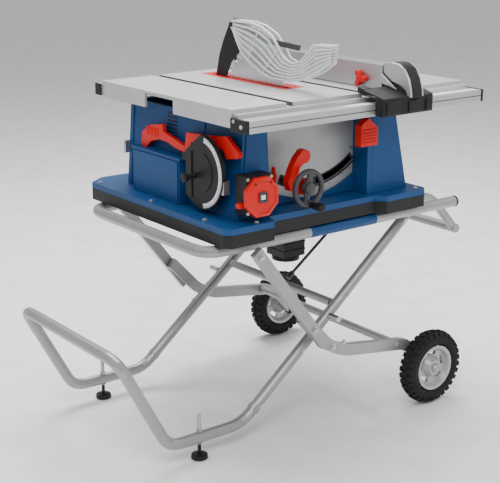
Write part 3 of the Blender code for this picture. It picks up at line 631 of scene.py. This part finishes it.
def make_housing_details():
    """Vents, ribs, seams, screws and feet of the enamelled body."""
    bm = bmesh.new()
    for i in range(8):
        z = 0.722 + i * 0.009
        face = 0.036 + (z - 0.5805) * 0.0729
        add_block(bm, face - 0.0004, face + 0.0030, 0.285, 0.330, z, z + 0.0042)
    for i in range(10):
        x = 0.17 + i * 0.026
        add_block(bm, x, x + 0.013, 0.4990, 0.5006, 0.66, 0.74)
    piece("vent_slots", bm, "black", "frame")
    bm = bmesh.new()
    add_prism(bm, "X", [(0.232, 0.5805), (0.429, 0.5805), (0.429, 0.684), (0.232, 0.684)], 0.0090, 0.0122)
    add_block(bm, 0.0100, 0.052, 0.222, 0.439, 0.6885, 0.6935)
    for y in (0.17, 0.482):
        add_prism(bm, "Y", [(0.033, 0.5805), (0.040, 0.5805), (0.054, 0.790), (0.049, 0.790)], y, y + 0.010)
    shield = [(0.0480, 0.600), (0.1200, 0.600), (0.1160, 0.667), (0.1090, 0.785), (0.0600, 0.785)]
    add_prism(bm, "Y", shield, 0.0222, 0.0252)
    shield = [(0.4560, 0.600), (0.5620, 0.600), (0.5230, 0.785), (0.4560, 0.785)]
    add_prism(bm, "Y", shield, 0.0294, 0.0302)
    add_prism(bm, "X", [(0.106, 0.5805), (0.194, 0.5805), (0.194, 0.640), (0.106, 0.640)], 0.6038, 0.6070)
    add_block(bm, 0.575, 0.6065, 0.098, 0.104, 0.5805, 0.693)
    add_block(bm, 0.575, 0.6065, 0.196, 0.202, 0.5805, 0.693)
    piece("housing_panels", bm, "blue", "frame", bevel=0.0015)
    bm = bmesh.new()
    flange_screws = ((-0.020, 0.545), (-0.022, 0.30), (-0.022, 0.075), (0.06, -0.014),
            (0.585, 0.004), (0.596, 0.56))
    for x, y in flange_screws:
        add_bolt(bm, "Z", x, y, 0.5802, 1, 0.0045)
    piece("flange_screws", bm, "zinc", "frame")
    bm = bmesh.new()
    for x, y in ((-0.010, 0.035), (-0.010, 0.521), (0.580, 0.035), (0.580, 0.521)):
        profile = [(0.5348, 0.021), (0.5330, 0.021), (0.5322, 0.019)]
        add_turned(bm, "Z", x, y, profile, 28)
    piece("pan_feet", bm, "black", "frame")
    bm = bmesh.new()
    add_turned(bm, "Z", 0.325, 0.205, [(0.4050, 0.033), (0.4010, 0.036), (0.3930, 0.036),
            (0.3930, 0.031), (0.4050, 0.029)],
               32, closed=True)
    for z in (0.420, 0.440, 0.460):
        add_block(bm, 0.2885, 0.3615, 0.1685, 0.2415, z, z + 0.004)
    piece("chute_collar", bm, "black", "frame", bevel=0.001)


def make_rail_details():
    """End caps, scale tape, ticks, screws and grooves of the rails, and painted shade on the far walls of
    the table's slots.
    """
    bm = bmesh.new()
    add_block(bm, -0.0045, 0.0042, -0.0615, -0.0005, 0.7960, 0.8265)
    add_block(bm, -0.0055, -0.0005, TABLE_DEPTH, TABLE_DEPTH + 0.0275, 0.8050, 0.8352)
    add_block(bm, 0.7425, 0.7495, -0.0615, -0.0005, 0.7960, 0.8265)
    add_block(bm, 0.7425, 0.7495, TABLE_DEPTH, TABLE_DEPTH + 0.0275, 0.8050, 0.8352)
    piece("rail_end_caps", bm, "black", "frame", bevel=0.0015)
    bm = bmesh.new()
    add_block(bm, 0.302, 0.738, -0.0545, -0.0300, 0.8249, 0.8252)
    piece("rail_scale_tape", bm, "white", "frame")
    bm = bmesh.new()
    for i in range(215):
        x = 0.306 + i * 0.002
        length = 0.012 if i % 10 == 0 else (0.008 if i % 5 == 0 else 0.004)
        add_block(bm, x, x + 0.0004, -0.0545, -0.0545 + length, 0.8251, 0.8254)
    piece("rail_scale_ticks", bm, "black", "frame")
    bm = bmesh.new()
    add_bolt(bm, "X", -0.042, 0.811, -0.0045, -1, 0.0035)
    add_bolt(bm, "X", -0.014, 0.820, -0.0045, -1, 0.0028)
    for x, y in ((0.281, 0.170), (0.339, 0.170), (0.281, 0.500), (0.339, 0.500)):
        add_turned(bm, "Z", x, y, [(TABLE_TOP - 0.001, 0.0042), (TABLE_TOP + 0.0003, 0.0042),
                (TABLE_TOP + 0.0003, 0.0015)], 20)
    piece("rail_screws", bm, "zinc", "frame")
    bm = bmesh.new()
    add_block(bm, 0.0001, 0.7370, -0.0205, -0.0195, 0.8150, 0.8160)
    add_block(bm, 0.004, 0.742, -0.0606, -0.0598, 0.8100, 0.8120)
    piece("rail_grooves", bm, "grey", "frame")
    # Painted shade: thin dark grey sheets on the far wall of each miter slot stand in for the shade that
    # makes the slots look dark.
    bm = bmesh.new()
    for x in (0.1743, 0.4063):
        add_block(bm, x, x + 0.0005, 0.002, TABLE_DEPTH - 0.002, TABLE_TOP - 0.0088, TABLE_TOP - 0.0010)
    piece("slot_painted_shade", bm, "grey", "frame")


# Accessories ---------------------------------------------------------------------------

def make_accessories():
    """Miter gauge scale and ribs, the storage clips, and the push stick's ribs."""
    bm = bmesh.new()
    band = arc(0.128, 0.680, 0.085, 262, 102, 26) + arc(0.128, 0.680, 0.074, 102, 262, 26)
    add_prism(bm, "X", band, 0.0032, 0.0042)
    piece("miter_scale_band", bm, "white", "miter_gauge")
    bm = bmesh.new()
    for i in range(41):
        angle = math.radians(104 + i * 3.9)
        length = 0.008 if i % 5 == 0 else 0.0045
        along = Vector((0, math.cos(angle), math.sin(angle)))
        side = Vector((0, -math.sin(angle), math.cos(angle))) * 0.0004
        centre = at(0.0031, 0.128, 0.680)
        near, far = centre + along * 0.0845, centre + along * (0.0845 - length)
        skin(bm, [[p - side, p + side, p + side - Vector((0.0005, 0, 0)), p - side - Vector((0.0005, 0, 0))]
                  for p in (near, far)])
    piece("miter_scale_ticks", bm, "black", "miter_gauge")
    bm = bmesh.new()
    add_prism(bm, "X", arc(0.128, 0.680, 0.048, 255, 105, 16), 0.0020, 0.0042)
    add_prism(bm, "X", [(0.160, 0.614), (0.182, 0.622), (0.180, 0.718), (0.160, 0.726)], 0.0010, 0.0042)
    piece("miter_head_ribs", bm, "black", "miter_gauge", bevel=0.001)
    bm = bmesh.new()
    add_block(bm, 0.0060, 0.0250, 0.040, 0.052, 0.640, 0.672)
    add_block(bm, 0.0250, 0.0405, 0.492, 0.500, 0.662, 0.694)
    piece("gauge_clips", bm, "zinc", "frame", bevel=0.001)
    bm = bmesh.new()
    for i in range(9):
        y = 0.335 + i * 0.0065
        add_block(bm, 0.0245, 0.0375, y, y + 0.003, 0.728, 0.748)
    add_block(bm, 0.0248, 0.0372, 0.075, 0.195, 0.7440, 0.7470)
    piece("push_stick_ribs", bm, "red", "push_stick", bevel=0.0008)


# Stand -----------------------------------------------------------------------------------

def line(start, end, share):
    """Point on a line of (x, z) places."""
    return (start[0] + (end[0] - start[0]) * share, start[1] + (end[1] - start[1]) * share)


def make_stand_details():
    """Bolts, end caps, pins, feet stems, sleeves, the tube's band and the release rod."""
    pivot, cross, roll = (0.062, 0.500), (0.335, 0.280), (0.608, 0.500)
    legs = bmesh.new()
    handles = bmesh.new()
    caps = bmesh.new()
    for sign in (-1, 1):
        flat = MID_Y + sign * 0.3095
        for x, z in (pivot, (0.226, 0.286)):
            add_bolt(legs, "Y", x, z, flat, sign, 0.0062)
        arm = MID_Y + sign * 0.2922
        for x, z in ((0.300, 0.220), (0.520, 0.176)):
            add_bolt(legs, "Y", x, z, arm, sign, 0.0060)
        add_bolt(legs, "Y", 0.335, 0.280 - 0.055, arm, sign, 0.0050)
        bar = MID_Y + sign * 0.2388
        low, high = MID_Y + sign * 0.2385, MID_Y + sign * 0.2735
        add_turned(handles, "Y", cross[0], cross[1], [(low, 0.0075), (high, 0.0075)], 20)
        for share in (0.36, 0.93):
            x, z = line(cross, LEG_FOOT, share)
            add_bolt(handles, "Y", x, z, bar, sign, 0.0045)
        x, z = line(cross, roll, 0.93)
        add_turned(handles, "Y", x, z, [(bar - sign * 0.001, 0.0065), (bar + sign * 0.0012, 0.0065)], 18)
        y = MID_Y + sign * FRAME_HALF
        add_turned(caps, "X", y, FRAME_Z, [(0.7505, 0.0148), (0.7555, 0.0148), (0.7575, 0.0120)], 24)
    piece("wheel_leg_bolts", legs, "zinc", "wheel_leg")
    piece("frame_tube_caps", caps, "black", "frame")
    bm = bmesh.new()
    add_turned(bm, "X", MID_Y - FRAME_HALF, FRAME_Z, [(0.248, 0.0147), (0.461, 0.0147)], 32)
    piece("frame_tube_band", bm, "blue", "frame")
    for sign in (-1, 1):
        y = MID_Y + sign * LEG_HALF
        add_turned(handles, "Z", -0.060, y, [(0.0690, 0.0078), (0.0740, 0.0078)], 6)
        add_turned(handles, "Z", -0.060, y, [(0.0688, 0.0045), (0.1120, 0.0045), (0.1140, 0.0034)], 16)
        add_turned(handles, "Z", -0.060, y, [(0.0390, 0.0078), (0.0402, 0.0078)], 6)
        for dz in range(12):
            z = 0.0760 + dz * 0.003
            add_turned(handles, "Z", -0.060, y, [(z, 0.0044), (z + 0.0008, 0.0052),
                    (z + 0.0016, 0.0044)], 16)
    piece("handle_leg_hardware", handles, "zinc", "handle_leg")
    bm = bmesh.new()
    x, z = line(cross, LEG_FOOT, 0.96)
    direction = Vector((0.241, 0, 0.202)).normalized()
    for sign in (-1, 1):
        centre = at(x, MID_Y + sign * LEG_HALF, z)
        add_tube(bm, [centre - direction * 0.006, centre + direction * 0.006], 0.0158, 24)
    piece("leg_sleeves", bm, "stand", "handle_leg")
    bm = bmesh.new()
    for sign in (-1, 1):
        x, z = 0.632, 0.092
        y = MID_Y + sign * 0.2833
        add_block(bm, x - 0.010, x + 0.014, y - 0.0095, y + 0.0095, z - 0.016, z + 0.014)
    piece("arm_end_caps", bm, "black", "wheel_leg", bevel=0.003)
    bm = bmesh.new()
    start, end = at(0.376, MID_Y - 0.02, 0.315), at(0.585, MID_Y - 0.02, 0.470)
    add_tube(bm, [start, start.lerp(end, 0.5), end], 0.0042, 14)
    for place, way in ((start, end), (end, start)):
        add_tube(bm, [place, place.lerp(way, 0.03), place.lerp(way, 0.08)], 0.0075, 16)
    piece("release_rod", bm, "grey", "handle_leg")


make_camera()
make_studio()
dress_nodes()
make_wheels()
make_guards()
make_fence_details()
make_handwheel()
make_switch()
make_panel_scale()
make_housing_details()
make_rail_details()
make_accessories()
make_stand_details()
